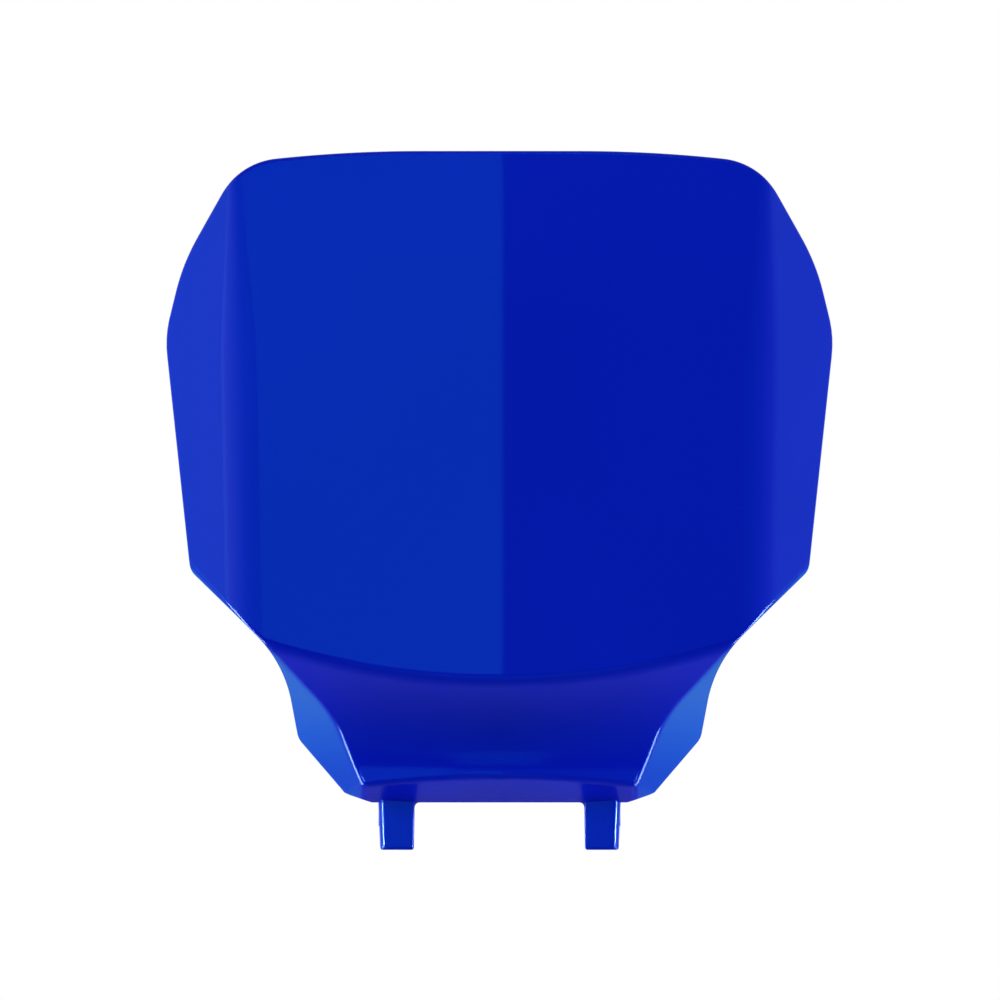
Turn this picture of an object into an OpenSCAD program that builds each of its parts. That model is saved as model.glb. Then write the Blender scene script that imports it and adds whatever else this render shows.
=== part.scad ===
// Front racing number board for an off-road motorbike, in millimetres.
// One injection-moulded shell: a face creased down its centre, two wings folded back, a top band
// that leans back, a hollowed throat between two side walls, an undercut lip and two plug-in pegs.
// Right is +X, up is +Z and the face looks along -Y. Heights below count up from the board's lower
// edge and depths count back from the centre crease. The finished part is then moved so that its
// origin lies on the upper face of the fixing lug, on the axis of the screw hole.

/* [Outline] */
// Height of the board without its pegs
board_h = 231; // [226:0.5:240]
// Width over the widest corners, before they are rounded
wide_w = 237.2; // [230:0.2:246]
// Height of the widest corners
wide_z = 165.3; // [155:0.1:172]
// Rounding of the widest corners
wide_r = 40; // [20:1:60]
// Width over the shoulders
shoulder_w = 224.6; // [220:0.2:229]
// Height of the shoulders
shoulder_z = 191.1; // [188:0.1:196]
// Rounding of the shoulders
shoulder_r = 75; // [40:1:80]
// Width over the top corners
top_w = 184.4; // [180:0.2:190]
// Drop of the top corners below the crown
top_drop = 4; // [2.5:0.1:5]
// Rounding of the top corners
top_r = 25; // [18:0.5:27]
// Width of the crown's level stretch, before it is rounded
crown_w = 106; // [96:1:116]
// Rounding of the crown
crown_r = 480; // [300:10:500]
// Width over the wings' lower corners
wing_w = 219.4; // [214:0.2:226]
// Height of the wings' lower corners
wing_z = 82.2; // [78:0.1:88]
// Rounding of the wings' lower corners
wing_r = 7; // [4:0.5:12]
// Width over the waist
waist_w = 154; // [148:0.2:158]
// Height of the waist
waist_z = 50.2; // [47:0.1:53]
// Rounding of the waist
waist_r = 45; // [24:1:46]
// Width over the hips, below the waist
hip_w = 142.8; // [136:0.2:146]
// Height of the hips
hip_z = 22.7; // [20:0.1:25]
// Rounding of the hips
hip_r = 8; // [4:0.5:12]
// Width over the toes, at the ends of the lower edge
toe_w = 109.6; // [104:0.2:112]
// Height of the toes
toe_z = 3.2; // [2.5:0.1:4.5]
// Rounding of the toes
toe_r = 2; // [1.7:0.1:3]
// Width of the level part of the lower edge
sole_w = 91.4; // [86:0.2:93]
// Rounding between the level part and the toes
sole_r = 6; // [3:0.5:8]

/* [Face and wings] */
// Angle of each half of the face behind the centre crease, in degrees
face_tilt = 7; // [4:0.5:10]
// Half-width of the centre crease's rounding
face_round = 5; // [3:0.5:8]
// Distance between the folds where the wings begin
fold_w = 181; // [176:0.2:186]
// Angle of the wings behind the face's own plane, in degrees
wing_tilt = 40; // [30:1:48]
// Half-width of the fold's rounding beside the lower face
fold_round = 7; // [4:0.5:9]
// Half-width of the fold's rounding at the crown
fold_crisp = 2.2; // [1.5:0.1:3]
// Height above which that rounding narrows
fold_crisp_z = 150; // [130:1:170]
// Height above which the folds lean apart
fold_lean_z = 60; // [50:1:72]
// Outward lean of the folds above that height, in degrees
fold_lean = 1.1; // [0:0.1:3]
// Height of the top band
band_h = 32.5; // [28:0.5:37]
// Backward lean of the top band, in degrees
band_tilt = 6; // [3:0.5:10]
// Half-width of the bend below the top band
band_round = 3; // [2:0.5:6]

/* [Throat] */
// Height of the throat's upper edge on the centre line
throat_z = 43.5; // [40:0.5:46]
// Radius of the throat's upper edge, seen from the front
throat_r = 270; // [230:5:320]
// Depth of the throat behind the face
throat_depth = 24.5; // [18:0.5:28]
// Extra depth of the throat's foot beside the side creases
throat_bow = 5.4; // [3:0.2:7]
// Half-width of the rounding of the throat's upper edge
throat_round = 2.8; // [2:0.1:4]
// Height of the lip below the throat, on the centre line
lip_h = 9.6; // [8.5:0.1:10.5]
// Undercut of the lip from the upright, in degrees
lip_tilt = 62; // [55:1:66]
// Angle by which the lip's ends turn back towards the toes, in degrees
toe_flare = 48; // [30:1:55]
// Half-width of the rounding between throat and lip
lip_round = 1.6; // [1.2:0.1:2.4]

/* [Side walls] */
// Distance between the side creases at the lip
crease_w = 95.2; // [92:0.2:98]
// Distance between the side creases where they turn upright
turn_w = 117.2; // [114:0.2:120]
// Height at which the side creases turn upright
turn_z = 32; // [30:0.2:34]
// Rounding of that turn, seen from the front
turn_r = 48; // [30:1:50]
// Rise of the rolled edge above the wings' lower corners
roll_rise = 3.6; // [2.5:0.1:5]
// Angle that the side walls add behind the throat and the wings, in degrees
side_tilt = 56; // [50:1:60]
// Half-width of the side crease's rounding beside the throat
crease_round = 1.4; // [1.2:0.1:2]
// Half-width of the rounding of the rolled edge under the wings
roll_round = 1.8; // [1.5:0.1:2.4]

/* [Wall] */
// Thickness of the moulding
wall = 2.8; // [2.2:0.1:3.2]

/* [Pegs] */
// Clear distance between the pegs
peg_gap = 60; // [54:0.5:64]
// Width of a peg at its root
peg_w = 13; // [11:0.1:14]
// Width that a peg loses to its tip
peg_taper = 1; // [0.4:0.1:1.6]
// Length of a peg below the board's lower edge
peg_len = 16.8; // [12:0.1:20]
// Depth of a peg from front to back
peg_depth = 11; // [9:0.5:13]
// Wall of the hollow pegs and of their webs
peg_wall = 2.4; // [1.8:0.1:2.8]
// Rounding of a peg's outer front edge
peg_outer_r = 3; // [2:0.2:4]
// Rounding of a peg's inner front edge
peg_inner_r = 0.8; // [0.5:0.1:1.5]
// Rounding where a peg's inner side meets the board's lower edge
peg_root_r = 1.6; // [1:0.1:2.4]
// Height to which the pegs' webs run up the back of the throat
web_h = 34; // [28:1:40]

/* [Fixing lug] */
// Height of the lug's upper face
lug_z = 150; // [135:1:165]
// Distance of the screw hole behind the centre crease
lug_reach = 34; // [28:0.5:42]
// Thickness of the lug
lug_t = 4; // [3:0.2:5]
// Width of the lug's rounded end
lug_w = 24; // [20:0.5:28]
// Width of the lug at its root
lug_root_w = 36; // [30:0.5:44]
// Diameter of the screw hole
screw_d = 6.5; // [5.5:0.1:7.5]
// Diameter of the boss around the screw hole
boss_d = 15; // [13:0.5:18]
// Height of the boss, from the lug's upper face down
boss_h = 9; // [7:0.5:12]
// Distance between the two gussets below the lug
gusset_gap = 20; // [17:0.5:24]
// Thickness of a gusset
gusset_t = 2.4; // [1.8:0.1:3]
// Height of a gusset on the board's back
gusset_h = 34; // [24:1:44]

/* [Hidden] */
board_blue = [0.01, 0.17, 0.69];
arc_steps = 8; // points along a rounded corner of the outline
probe = 0.02; // half-step for the surface's slopes
bite = 0.5; // how far one solid runs into another that it is joined to
clear = 1; // how far a cut runs past the face that it opens
half_wall = wall / 2;
rim_room = 3; // least width of the grid between its fold and the rim line
band_z = board_h - band_h;
tan_face = tan(face_tilt);
tan_wing = tan(face_tilt + wing_tilt) - tan_face;
tan_side = tan(side_tilt);
tan_lip = tan(lip_tilt);
fold_bend = 12; // half-height of the stretch where the folds start to lean apart

// A straight rise that starts at s = 0, its corner rounded over w to each side.
function bend(s, w) = s <= -w ? 0 : s >= w ? s : (s + w) * (s + w) / (4 * w);

// Smooth step from 0 at a to 1 at b.
function ease(s, a, b) = let (t = max(0, min(1, (s - a) / (b - a)))) t * t * (3 - 2 * t);

function unit(v) = v / norm(v);

// Points of one corner [x, z, r] between its neighbours, rounded to the radius r.
function corner(before, here, after) =
    let (p = [here[0], here[1]],
         a = unit([before[0], before[1]] - p),
         b = unit([after[0], after[1]] - p),
         half = acos(max(-1, min(1, a * b))) / 2,
         centre = p + unit(a + b) * here[2] / sin(half),
         from = p + a * here[2] / tan(half) - centre,
         to = p + b * here[2] / tan(half) - centre,
         start = atan2(from[1], from[0]),
         turn = atan2(from[0] * to[1] - from[1] * to[0], from * to))
    [for (i = [0 : arc_steps])
        let (angle = start + turn * i / arc_steps)
        centre + here[2] * [cos(angle), sin(angle)]];

// A path through corners, with every corner but the two ends rounded.
function rounded(corners) =
    let (n = len(corners))
    [for (i = [0 : n - 1])
        each (i == 0 || i == n - 1)
            ? [[corners[i][0], corners[i][1]]]
            : corner(corners[i - 1], corners[i], corners[i + 1])];

// Corners of the right half of the outline, from the sole's middle up to the crown's.
outline_corners = [
    [0, 0, 0],
    [sole_w / 2, 0, sole_r],
    [toe_w / 2, toe_z, toe_r],
    [hip_w / 2, hip_z, hip_r],
    [waist_w / 2, waist_z, waist_r],
    [wing_w / 2, wing_z, wing_r],
    [wide_w / 2, wide_z, wide_r],
    [shoulder_w / 2, shoulder_z, shoulder_r],
    [top_w / 2, board_h - top_drop, top_r],
    [crown_w / 2, board_h, crown_r],
    [0, board_h, 0]];
outline_by_z = [for (p = rounded(outline_corners)) [p[1], p[0]]];

// Direction to the left of the way from corner a to corner b, which is into the board.
function inwards(a, b) = unit([a[1] - b[1], b[0] - a[0]]);

// Corner i of a path, moved by d to the left of both of its sides, with its radius to match.
function drawn_in(corners, i, d) =
    let (last = len(corners) - 1,
         here = corners[i],
         m = inwards(corners[max(0, i - 1)], corners[max(1, i)]),
         n = inwards(corners[min(last - 1, i)], corners[min(last, i + 1)]),
         moved = [here[0], here[1]] + (m + n) * d / (1 + m * n),
         bulges = m[0] * n[1] - m[1] * n[0] > 0)
    [moved[0], moved[1], bulges ? max(0.2, here[2] - d) : here[2] + d];

// Line half a wall inside the outline, where the wall's middle ends and its rounded rim begins.
rim_corners = [for (i = [0 : len(outline_corners) - 1]) drawn_in(outline_corners, i, half_wall)];
rim_line = rounded(rim_corners);
rim_by_z = [for (p = rim_line) [p[1], p[0]]];
rim_top = [for (p = rim_line) if (p[1] > shoulder_z) p];
rim_foot = [for (p = rim_line) if (p[1] < hip_z) p];

function rim_x(z) = lookup(z, rim_by_z);
function rim_top_z(x) = lookup(x, rim_top);
function rim_foot_z(x) = lookup(x, rim_foot);

// Side crease seen from the front: down beside the rolled edge, then round to the lip.
roll_top = [lookup(wing_z + roll_rise, outline_by_z), wing_z + roll_rise];
turn_point = [turn_w / 2, turn_z];
crease_foot = [crease_w / 2, lip_h - throat_bow / tan_lip];
crease = rounded([
    crease_foot + (crease_foot - turn_point) * 0.5,
    [turn_point[0], turn_point[1], turn_r],
    roll_top + (roll_top - turn_point) * 0.5]);
crease_by_z = [for (p = crease) [p[1], p[0]]];

function crease_x(z) = lookup(z, crease_by_z);
function wing_fold_x(z) = fold_w / 2 + tan(fold_lean) * bend(z - fold_lean_z, fold_bend);
// The grid's line between face and wing above and between throat and side wall below. It keeps
// clear of the rim between the turn of the side creases and the wings, where the side wall runs out.
function fold_x(z) =
    let (creased = min(wing_fold_x(z), crease_x(z)))
    z > turn_z && z < wing_z ? min(creased, rim_x(z) - rim_room) : creased;
function throat_edge_z(x) = throat_z + throat_r - sqrt(throat_r * throat_r - x * x);

// Depth of the face, wings and top band at x to the right of the centre line.
function face_y(x, z) =
    tan_face * bend(x, face_round) - tan_face * face_round / 4 + tan_face * bend(-x, face_round)
    + tan_wing * bend(x - wing_fold_x(z),
        fold_round + (fold_crisp - fold_round) * ease(z, fold_crisp_z, board_h))
    + tan(band_tilt) * bend(z - band_z, band_round);

// Depth that the throat adds: steepest under its upper edge and upright again at its foot.
function throat_y(x, z) =
    let (drop = bend(throat_edge_z(x) - z, throat_round),
         t = min(1, drop / (throat_edge_z(x) - lip_h)),
         bow = throat_bow * pow(2 * x / crease_w, 2))
    (throat_depth + bow) * t * (2 - t);

// Depth that the side wall and the rolled edge add outside the side crease.
function side_y(x, z) =
    tan_side * bend(x - crease_x(z),
        crease_round + (roll_round - crease_round) * ease(z, turn_z, waist_z));

// Undercut plane of the lip, creased like the face, with its ends turned back.
function lip_y(x, z) =
    throat_depth + tan_face * x + tan(toe_flare) * bend(x - crease_foot[0], lip_round)
    + tan_lip * (lip_h - z);

// Depth of the middle of the wall at any x and z.
function mid_y(x_any, z) =
    let (x = abs(x_any),
         shell = face_y(x, z) + throat_y(x, z) + side_y(x, z))
    shell + bend(lip_y(x, z) - shell, lip_round);

// Slopes of the wall's middle surface, across and upwards.
function slopes(x, z) = [
    (mid_y(x + probe, z) - mid_y(x - probe, z)) / (2 * probe),
    (mid_y(x, z + probe) - mid_y(x, z - probe)) / (2 * probe)];

// The moulding is laid out on rows and columns that follow its creases. A key row is given by its
// heights on the centre line, on the fold and on the rim line.
sole_fold_z = rim_foot_z(crease_x(rim_foot_z(crease_x(0))));
crown_fold_z = rim_top_z(wing_fold_x(board_h - top_drop - top_r / 5));
toe_row_z = rim_corners[2][1];
lip_row_rise = 2.6; // height of the lip's row above the toes, at the rim line
throat_row_drop = 25; // drop of the throat edge's row below the wings' lower corners
crown_row_drop = 13; // drop of the crown's row from the fold to the rim line
row_keys = [
    [half_wall, sole_fold_z, toe_row_z],
    [lip_h, crease_foot[1], toe_row_z + lip_row_rise],
    [throat_z, wing_z - throat_row_drop, wing_z - throat_row_drop],
    [wing_z, wing_z, wing_z],
    [band_z, band_z, band_z],
    [board_h - half_wall, crown_fold_z, crown_fold_z - crown_row_drop]];
row_steps = [
    [0, 0.42, 0.76],
    [0, 0.06, 0.13, 0.23, 0.33, 0.43, 0.54, 0.65, 0.75, 0.84, 0.92, 0.97],
    [0, 0.05, 0.14, 0.28, 0.46, 0.64, 0.82],
    [0, 0.1, 0.22, 0.34, 0.46, 0.58, 0.7, 0.79, 0.87, 0.94, 0.98],
    [0, 0.09, 0.28, 0.52, 0.78, 1]];
rows = [for (k = [0 : len(row_steps) - 1]) each [for (t = row_steps[k]) [k, t]]];

// Columns: shares of the way from the centre line to the fold, then from the fold to the rim line.
face_steps = [0, 0.03, 0.06, 0.12, 0.22, 0.34, 0.46, 0.58, 0.69, 0.79, 0.87, 0.93, 0.97, 1];
wing_steps = [0.1, 0.22, 0.38, 0.56, 0.78, 1];
rim_gap = 1.8; // distance of the last inner column from the rim line
half_columns = concat([for (s = face_steps) [0, s]], [for (s = wing_steps) [1, s]], [[2, 1]]);
half_n = len(half_columns) - 1;

function blend(a, b, t) = a + (b - a) * t;
function fold_at(z) = [fold_x(z), z];
function edge_at(z) = [rim_x(z), z];

// Place on key row k at the share s between centre line and fold, seen from the front.
function face_key(k, s) =
    let (z = blend(row_keys[k][0], row_keys[k][1], s),
         x = s * fold_x(row_keys[k][1]))
    [x, k == 0 ? rim_foot_z(x)
        : k == 1 ? z + (row_keys[1][0] - row_keys[1][1]) * (s - s * s)
        : k == 2 ? blend(throat_edge_z(x), z, ease(s, 0.86, 1))
        : k == 5 ? rim_top_z(x)
        : z];

// Place on key row k at the share s between fold and rim line, seen from the front.
function wing_key(k, s) =
    let (z = blend(row_keys[k][1], row_keys[k][2], s))
    k == 5 ? edge_at(z) : blend(fold_at(row_keys[k][1]), edge_at(row_keys[k][2]), s);

// Fills a strip between key rows: straight between them, plus what its two ends are off that line.
function between(a, b, a_near, b_near, a_far, b_far, near, far, s, t) =
    blend(a, b, t) + (1 - s) * (near - blend(a_near, b_near, t)) + s * (far - blend(a_far, b_far, t));

// Place seen from the front of the grid point at row [k, t] and half column [zone, share].
function place(row, column) =
    let (k = row[0], t = row[1], zone = column[0],
         centre = [0, blend(row_keys[k][0], row_keys[k + 1][0], t)],
         fold = fold_at(blend(row_keys[k][1], row_keys[k + 1][1], t)),
         edge = edge_at(blend(row_keys[k][2], row_keys[k + 1][2], t)),
         width = norm(edge - fold),
         s = zone == 1 ? column[1] * (1 - min(rim_gap, width * 0.45) / width) : column[1])
    zone == 0
        ? between(face_key(k, s), face_key(k + 1, s), face_key(k, 0), face_key(k + 1, 0),
            face_key(k, 1), face_key(k + 1, 1), centre, fold, s, t)
        : between(wing_key(k, s), wing_key(k + 1, s), wing_key(k, 0), wing_key(k + 1, 0),
            wing_key(k, 1), wing_key(k + 1, 1), fold, edge, s, t);

row_n = len(rows) - 1;
column_n = 2 * half_n;
// Seen from the front: right half, then both halves.
right_half = [for (row = rows) [for (column = half_columns) place(row, column)]];
plan = [for (row = right_half)
    [for (j = [0 : column_n])
        j < half_n ? [-row[half_n - j][0], row[half_n - j][1]] : row[j - half_n]]];

// The rim's grid points, once around from the lower left corner, first right and then up.
rim_path = concat(
    [for (j = [0 : column_n - 1]) [0, j]],
    [for (i = [0 : row_n - 1]) [i, column_n]],
    [for (j = [column_n : -1 : 1]) [row_n, j]],
    [for (i = [row_n : -1 : 1]) [i, 0]]);
rim_n = len(rim_path);
function rim_place(k) = let (at = rim_path[(k + rim_n) % rim_n]) plan[at[0]][at[1]];
// Outward direction along the wall's surface at rim point k.
function rim_direction(k) =
    let (along = rim_place(k + 1) - rim_place(k - 1),
         n = unit([along[1], -along[0]]),
         rise = slopes(rim_place(k)[0], rim_place(k)[1]) * n)
    unit([n[0], rise, n[1]]);

// Middle point of the wall and the direction across it, towards the back.
function wall_frame(p) =
    let (s = slopes(p[0], p[1]))
    [[p[0], mid_y(p[0], p[1]), p[1]], unit([-s[0], 1, -s[1]])];
frames = [for (row = plan) [for (p = row) wall_frame(p)]];

rim_steps = 4; // facets around the rounded rim
front_points = [for (row = frames) each [for (f = row) f[0] - f[1] * half_wall]];
back_points = [for (row = frames) each [for (f = row) f[0] + f[1] * half_wall]];
rim_points = [for (r = [1 : rim_steps - 1]) each [for (k = [0 : rim_n - 1])
    let (at = rim_path[k], f = frames[at[0]][at[1]], angle = 180 * r / rim_steps)
    f[0] + half_wall * (rim_direction(k) * sin(angle) - f[1] * cos(angle))]];
grid_n = (row_n + 1) * (column_n + 1);

function front_id(i, j) = i * (column_n + 1) + j;
function ring_id(r, k) =
    let (at = rim_path[k % rim_n])
    r == 0 ? front_id(at[0], at[1])
    : r == rim_steps ? grid_n + front_id(at[0], at[1])
    : 2 * grid_n + (r - 1) * rim_n + k % rim_n;
// Two triangles of a four-cornered patch, cut from its first corner or from its second.
function halves(q, first) =
    first ? [[q[0], q[1], q[2]], [q[0], q[2], q[3]]] : [[q[1], q[2], q[3]], [q[1], q[3], q[0]]];
// Does the cut from patch (i, j)'s lower left corner run towards the nearest corner of the grid?
function towards_corner(i, j) = (i < row_n / 2) == (j < half_n);

shell_faces = concat(
    [for (i = [0 : row_n - 1]) each [for (j = [0 : column_n - 1])
        each halves([front_id(i, j), front_id(i + 1, j), front_id(i + 1, j + 1), front_id(i, j + 1)],
            towards_corner(i, j))]],
    [for (i = [0 : row_n - 1]) each [for (j = [0 : column_n - 1])
        each halves([for (id = [front_id(i, j + 1), front_id(i + 1, j + 1), front_id(i + 1, j),
            front_id(i, j)]) grid_n + id], !towards_corner(i, j))]],
    [for (r = [0 : rim_steps - 1]) each [for (k = [0 : rim_n - 1])
        each halves([ring_id(r, k), ring_id(r, k + 1), ring_id(r + 1, k + 1), ring_id(r + 1, k)],
            true)]]);

// The moulded wall with its rounded rim.
module shell() {
    color(board_blue)
        polyhedron(points = concat(front_points, back_points, rim_points), faces = shell_faces);
}

// Draws children whose first axis is depth and whose second is height as a plate centred on x.
module upright_plate(x, t) {
    translate([x - t / 2, 0, 0])
        rotate([90, 0, 90])
            linear_extrude(height = t)
                children();
}

peg_x = peg_gap / 2 + peg_w / 2; // centre of a peg's root
peg_y = mid_y(peg_gap / 2, half_wall) - half_wall * 0.4; // front of a peg, just inside the lip
web_steps = 9;

// Web that ties a peg's side to the back of the lip and throat, a little thinner than that side.
module peg_web(x) {
    seam = [for (i = [0 : web_steps]) let (z = blend(bite, web_h, i / web_steps)) [mid_y(x, z), z]];
    back = peg_y + peg_depth - bite;
    upright_plate(x, peg_wall * 0.9)
        polygon(concat(
            [[back, -peg_len / 2], [peg_y + wall, -peg_len / 2]],
            seam,
            [[mid_y(x, web_h) + wall, web_h], [back, peg_depth / 3]]));
}

// Cross-section of a peg, its front towards -Y, with its outer front edge the rounder one.
module peg_section() {
    difference() {
        translate([-peg_w / 2, 0])
            square([peg_w, peg_depth]);
        for (side = [[1, peg_outer_r], [-1, peg_inner_r]])
            translate([side[0] * peg_w / 2, 0])
                difference() {
                    square(2 * side[1], center = true);
                    translate([-side[0] * side[1], side[1]])
                        circle(side[1], $fn = 48);
                }
    }
}

// Front view of a peg's outer side walls, or of its hollow when it is drawn in by a wall.
module peg_front(inset, foot, head) {
    polygon([
        [inset - peg_w / 2 + peg_taper * 0.3, foot], [peg_w / 2 - peg_taper * 0.7 - inset, foot],
        [peg_w / 2 - inset, head], [inset - peg_w / 2, head]]);
}

// One tapered peg, hollow from behind, at the origin with its root at z = 0.
module peg() {
    difference() {
        intersection() {
            translate([0, 0, -peg_len])
                linear_extrude(height = peg_len + half_wall)
                    peg_section();
            translate([0, peg_depth + clear, 0])
                rotate([90, 0, 0])
                    linear_extrude(height = peg_depth + 2 * clear)
                        peg_front(0, -peg_len - clear, bite + clear);
        }
        translate([0, peg_depth + clear, 0])
            rotate([90, 0, 0])
                linear_extrude(height = peg_depth + clear - peg_wall)
                    peg_front(peg_wall, -peg_len + peg_wall, bite + clear);
    }
}

// Small fillet between a peg's inner side and the board's lower edge, as deep as the wall.
module peg_root() {
    translate([-peg_w / 2, wall + bite, 0])
        rotate([90, 0, 0])
            linear_extrude(height = wall)
                difference() {
                    translate([-peg_root_r, -peg_root_r])
                        square([peg_root_r + bite, peg_root_r + bite]);
                    translate([-peg_root_r, -peg_root_r])
                        circle(peg_root_r, $fn = 48);
                }
}

module pegs() {
    color(board_blue)
        for (side = [0, 1])
            mirror([side, 0, 0]) {
                translate([peg_x, peg_y, 0]) {
                    peg();
                    peg_root();
                }
                for (x = [peg_x - peg_w / 2 + peg_wall / 2, peg_x + peg_w / 2 - peg_wall / 2])
                    peg_web(x);
            }
}

// Flat lug with a rounded end that carries the screw hole, tied down by two gussets.
module lug() {
    root_y = mid_y(0, lug_z);
    color(board_blue)
        difference() {
            union() {
                translate([0, 0, lug_z - lug_t])
                    linear_extrude(height = lug_t)
                        union() {
                            polygon([
                                [-lug_root_w / 2, mid_y(lug_root_w / 2, lug_z)], [0, root_y],
                                [lug_root_w / 2, mid_y(lug_root_w / 2, lug_z)],
                                [lug_w / 2, lug_reach - lug_w / 3], [lug_w / 2, lug_reach],
                                [-lug_w / 2, lug_reach], [-lug_w / 2, lug_reach - lug_w / 3]]);
                            translate([0, lug_reach])
                                circle(lug_w / 2, $fn = 96);
                        }
                translate([0, lug_reach, lug_z - boss_h])
                    cylinder(h = boss_h, d = boss_d, $fn = 96);
                for (x = [-gusset_gap / 2, gusset_gap / 2])
                    upright_plate(x, gusset_t)
                        polygon([
                            [mid_y(x, lug_z - lug_t), lug_z - lug_t / 2],
                            [lug_reach - boss_d / 4, lug_z - lug_t / 2],
                            [lug_reach - boss_d / 4, lug_z - lug_t - gusset_t],
                            [mid_y(x, lug_z - gusset_h) + wall, lug_z - gusset_h],
                            [mid_y(x, lug_z - gusset_h), lug_z - gusset_h]]);
            }
            translate([0, lug_reach, lug_z - boss_h - clear])
                cylinder(h = boss_h + 2 * clear, d = screw_d, $fn = 96);
        }
}

module number_board() {
    translate([0, -lug_reach, -lug_z])
        union() {
            shell();
            pegs();
            lug();
        }
}

number_board();
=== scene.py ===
"""Front racing number board of an off-road motorbike: one glossy blue moulding.

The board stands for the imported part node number_board. Its three stretches, the creased shell, the
two plug-in pegs and the fixing lug, are worked out here from the part's own named sizes, on finer
grids than the solid has, and each rides on the part's one body. Sizes are in millimetres and are
written down in the construction frame, whose origin lies on the lower edge below the centre crease:
right is +X, back is +Y and up is +Z. Meshes are made in metres in the row frame.
"""

from __future__ import annotations

import logging
import math
from dataclasses import dataclass, field, replace
from enum import Enum

import bpy
import numpy as np
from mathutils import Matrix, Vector

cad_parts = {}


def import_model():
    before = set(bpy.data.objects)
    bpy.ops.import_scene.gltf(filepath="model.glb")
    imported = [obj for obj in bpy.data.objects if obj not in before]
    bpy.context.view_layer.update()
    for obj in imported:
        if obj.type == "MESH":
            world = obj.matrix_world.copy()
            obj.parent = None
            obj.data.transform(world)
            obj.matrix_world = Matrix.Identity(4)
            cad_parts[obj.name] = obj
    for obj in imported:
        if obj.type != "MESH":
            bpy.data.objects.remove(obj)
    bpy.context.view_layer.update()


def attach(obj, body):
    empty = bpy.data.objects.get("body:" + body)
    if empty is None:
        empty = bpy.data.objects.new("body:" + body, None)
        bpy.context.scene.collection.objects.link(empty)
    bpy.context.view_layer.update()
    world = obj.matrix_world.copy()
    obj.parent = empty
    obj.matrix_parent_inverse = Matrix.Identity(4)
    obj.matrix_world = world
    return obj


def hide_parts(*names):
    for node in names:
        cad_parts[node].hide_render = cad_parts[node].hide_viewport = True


LOG = logging.getLogger("number_board")
NODE = "number_board"
BODY = "root"
METRES = 0.001
# Mouth of the screw hole in the construction frame, which is the row frame's origin.
ORIGIN = np.array([0.0, 34.0, 150.0])
LEAST_RADIUS = 0.2
# Angles at which a softened edge has its points.
QUARTER = np.radians([0, 30, 60, 90])
WHITE = (1.0, 1.0, 1.0)
# The plastic's gloss is blue, so lamps that show in it are tinted to come out as in the photograph.
TEAL = (0.1, 0.85, 0.62)
MINT = (0.75, 1.0, 0.9)
ROSE = (1.0, 0.5, 0.4)
# Angle that a lamp's light fans out by, so that its reflection fades towards the sides.
WIDE = math.radians(80)
SLIM = math.radians(24)


class Side(Enum):
    """Half of the board, as the sign of its x."""

    LEFT = -1
    RIGHT = 1

    def on(self, points: np.ndarray) -> np.ndarray:
        """Loops made for the right half; for the left they are mirrored and run the other way."""
        return points if self is Side.RIGHT else (points * np.array([-1.0, 1.0, 1.0]))[..., ::-1, :]


class Work(Enum):
    """What a lamp does: it lights the colour, it shows in the gloss, or both."""

    BOTH = "both"
    MATT = "matt"
    GLOSS = "gloss"


class Zone(Enum):
    """Stretch of a grid row between two creases."""

    FACE = 0
    WING = 1


def bend(s: np.ndarray, w: float | np.ndarray) -> np.ndarray:
    """A straight rise that starts at s = 0, its corner rounded by a parabola over w to each side.

    Args:
        s: Distance past the corner.
        w: Half-width of the rounding.

    Returns:
        0 before the rounding, (s + w) squared over 4 w in it, and s after it.
    """
    return np.where(s <= -w, 0.0, np.where(s >= w, s, (s + w) ** 2 / (4 * w)))


def ease(s: np.ndarray, low: float, high: float) -> np.ndarray:
    """Smooth step: t squared times (3 - 2 t), with t going from 0 at low to 1 at high."""
    t = np.clip((s - low) / (high - low), 0, 1)
    return t * t * (3 - 2 * t)


def unit(v: np.ndarray) -> np.ndarray:
    """Vectors along the last axis, each divided by its length."""
    return v / np.maximum(np.linalg.norm(v, axis=-1, keepdims=True), 1e-12)


def mixed(a: np.ndarray, b: np.ndarray, t: np.ndarray | float) -> np.ndarray:
    """Straight blend from a at t = 0 to b at t = 1."""
    return a + (b - a) * t


def eased_steps(count: int, pull: float) -> np.ndarray:
    """Shares from 0 to 1 that crowd towards both ends.

    Args:
        count: Number of steps.
        pull: 0 for even steps, 1 for steps spaced as the cosine of an even angle.

    Returns:
        count + 1 rising shares.
    """
    even = np.linspace(0, 1, count + 1)
    return mixed(even, (1 - np.cos(np.pi * even)) / 2, pull)


def edge_step(r: float, angle: float) -> tuple[float, float]:
    """Distances of a rounded edge, at an angle round it, from its second face and from its first."""
    return r * (1 - math.sin(angle)), r * (1 - math.cos(angle))


def corner_arc(before: np.ndarray, here: np.ndarray, after: np.ndarray, r: float, steps: int) -> np.ndarray:
    """One corner of a path, rounded by an arc that touches both of its sides.

    The arc's centre lies on the corner's bisector, r over the sine of half its angle away.

    Args:
        before: The corner before this one.
        here: The corner itself.
        after: The corner after it.
        r: Radius of the arc.
        steps: Number of chords.

    Returns:
        The arc's points in order.
    """
    a, b = unit(before - here), unit(after - here)
    half = math.acos(float(np.clip(a @ b, -1, 1))) / 2
    centre = here + unit(a + b) * r / math.sin(half)
    start = here + a * r / math.tan(half) - centre
    end = here + b * r / math.tan(half) - centre
    turn = math.atan2(start[0] * end[1] - start[1] * end[0], float(start @ end))
    angle = math.atan2(start[1], start[0]) + turn * np.linspace(0, 1, steps + 1)
    return centre + r * np.stack([np.cos(angle), np.sin(angle)], -1)


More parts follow.
